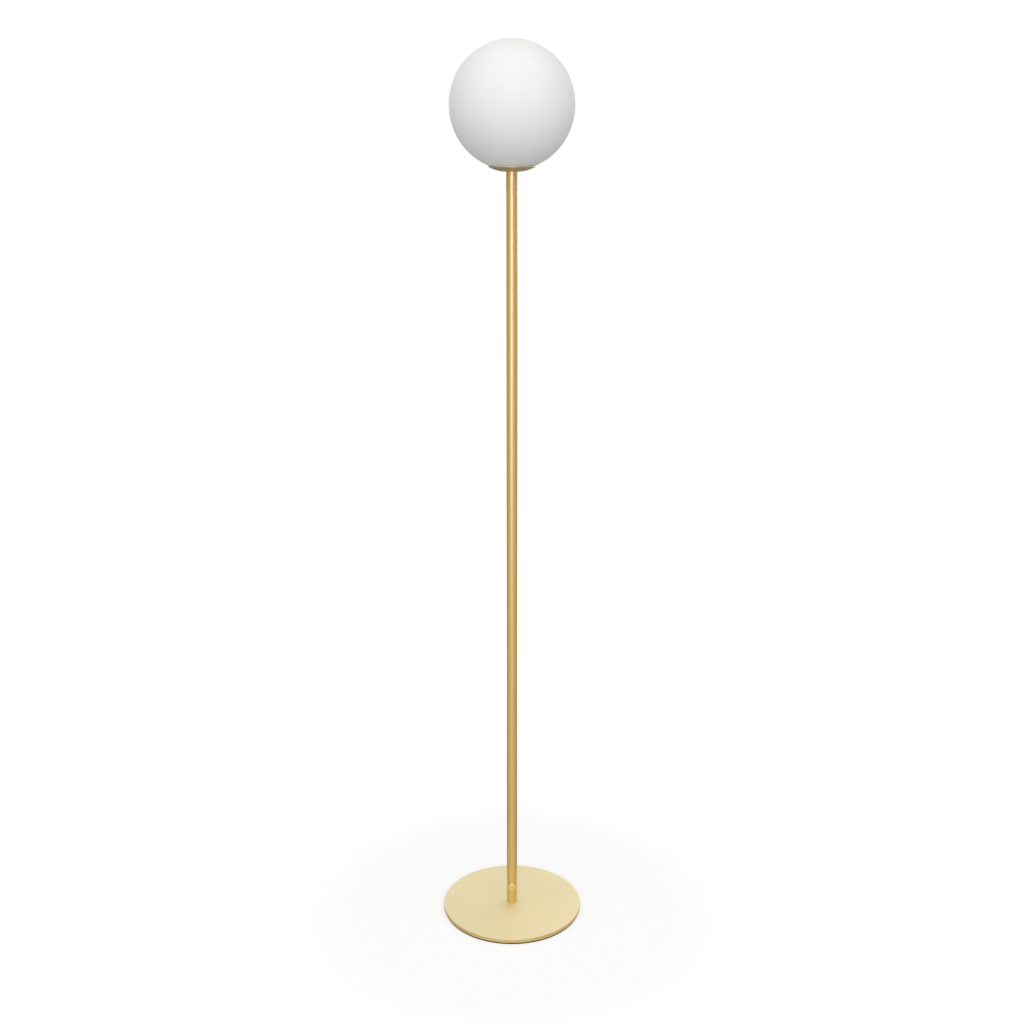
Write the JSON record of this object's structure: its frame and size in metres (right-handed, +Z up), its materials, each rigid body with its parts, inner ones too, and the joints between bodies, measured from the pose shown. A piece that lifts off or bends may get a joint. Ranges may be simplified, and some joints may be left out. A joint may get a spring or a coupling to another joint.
{
  "type": "globe floor lamp",
  "caption": "Slender floor lamp: opal glass globe in a shallow brass saucer on a straight tubular stem, flat round foot, push button at the bottom of the stem.",
  "frame": {"origin": "centre of the round foot's underside, on the floor", "axes": "+Z up along the stem; -Y is the front, where the push button is; the cord leaves at +Y; +X to the viewer's right from the front"},
  "size_m": [0.253, 0.253, 1.53],
  "materials": {
    "brass_plate": "satin, pale, clear lacquered",
    "brass_stem": "satin, clear lacquered",
    "brass_saucer": "satin, clear lacquered",
    "brass_bezel": "satin",
    "brass_button": "satin",
    "pad": "matt",
    "screw_steel": "zinc plated",
    "plug_steel": "as turned",
    "zinc_steel": "zinc plated",
    "spring_steel": "polished spring steel",
    "black_plastic": "moulded, matt",
    "bush_plastic": "moulded, matt, brass coloured",
    "terminal_brass": "bright",
    "lead_sheath": "matt",
    "core_sleeve": "matt",
    "ceramic": "unglazed",
    "bulb_plastic": "satin",
    "pin_wire": "tinned",
    "board": "white solder mask",
    "bulb_cover": "frosted, translucent",
    "opal_glass": "satin opal, blown",
    "collar_aluminium": "satin",
    "gasket": "soft, translucent white"
  },
  "bodies": {
    "lamp": {"base_plate": "brass_plate", "base_pad": "pad", "base_screw": "screw_steel", "foot_plug": "plug_steel", "stem_tube": "brass_stem", "stem_top_plug": "plug_steel", "switch_bezel": "brass_bezel", "button_spring": "spring_steel", "switch_housing": "black_plastic", "switch_terminals": "terminal_brass", "cord_bush": "bush_plastic", "stem_lead": "lead_sheath", "lead_cores": "core_sleeve", "saucer": "brass_saucer", "clip_carrier": "spring_steel", "threaded_rod": "zinc_steel", "riser_washer": "zinc_steel", "lock_washer": "zinc_steel", "rod_nuts": "zinc_steel", "spacer_tube": "zinc_steel", "holder_bracket": "zinc_steel", "bracket_screws": "screw_steel", "holder_body": "ceramic", "holder_contacts": "terminal_brass", "globe_gasket": "gasket"},
    "push_button": {"push_button": "brass_button"},
    "globe": {"globe": "opal_glass", "globe_neck": "opal_glass", "globe_collar": "collar_aluminium"},
    "bulb": {"bulb_base": "bulb_plastic", "bulb_pins": "pin_wire", "bulb_board": "board", "bulb_cover": "bulb_cover"}
  },
  "joints": [
    {"name": "button_press", "type": "slide", "parent": "lamp", "child": "push_button", "axis": [0, 1, 0], "range_m": [0, 0.0015], "stiffness_N_per_m": 800, "springref_m": -0.001, "deforming": ["button_spring"]},
    {"name": "globe_lift", "type": "slide", "parent": "lamp", "child": "globe", "axis": [0, 0, 1], "range_m": [0, 0.11]},
    {"name": "bulb_pull", "type": "slide", "parent": "lamp", "child": "bulb", "axis": [0, 0, 1], "range_m": [0, 0.03]}
  ]
}
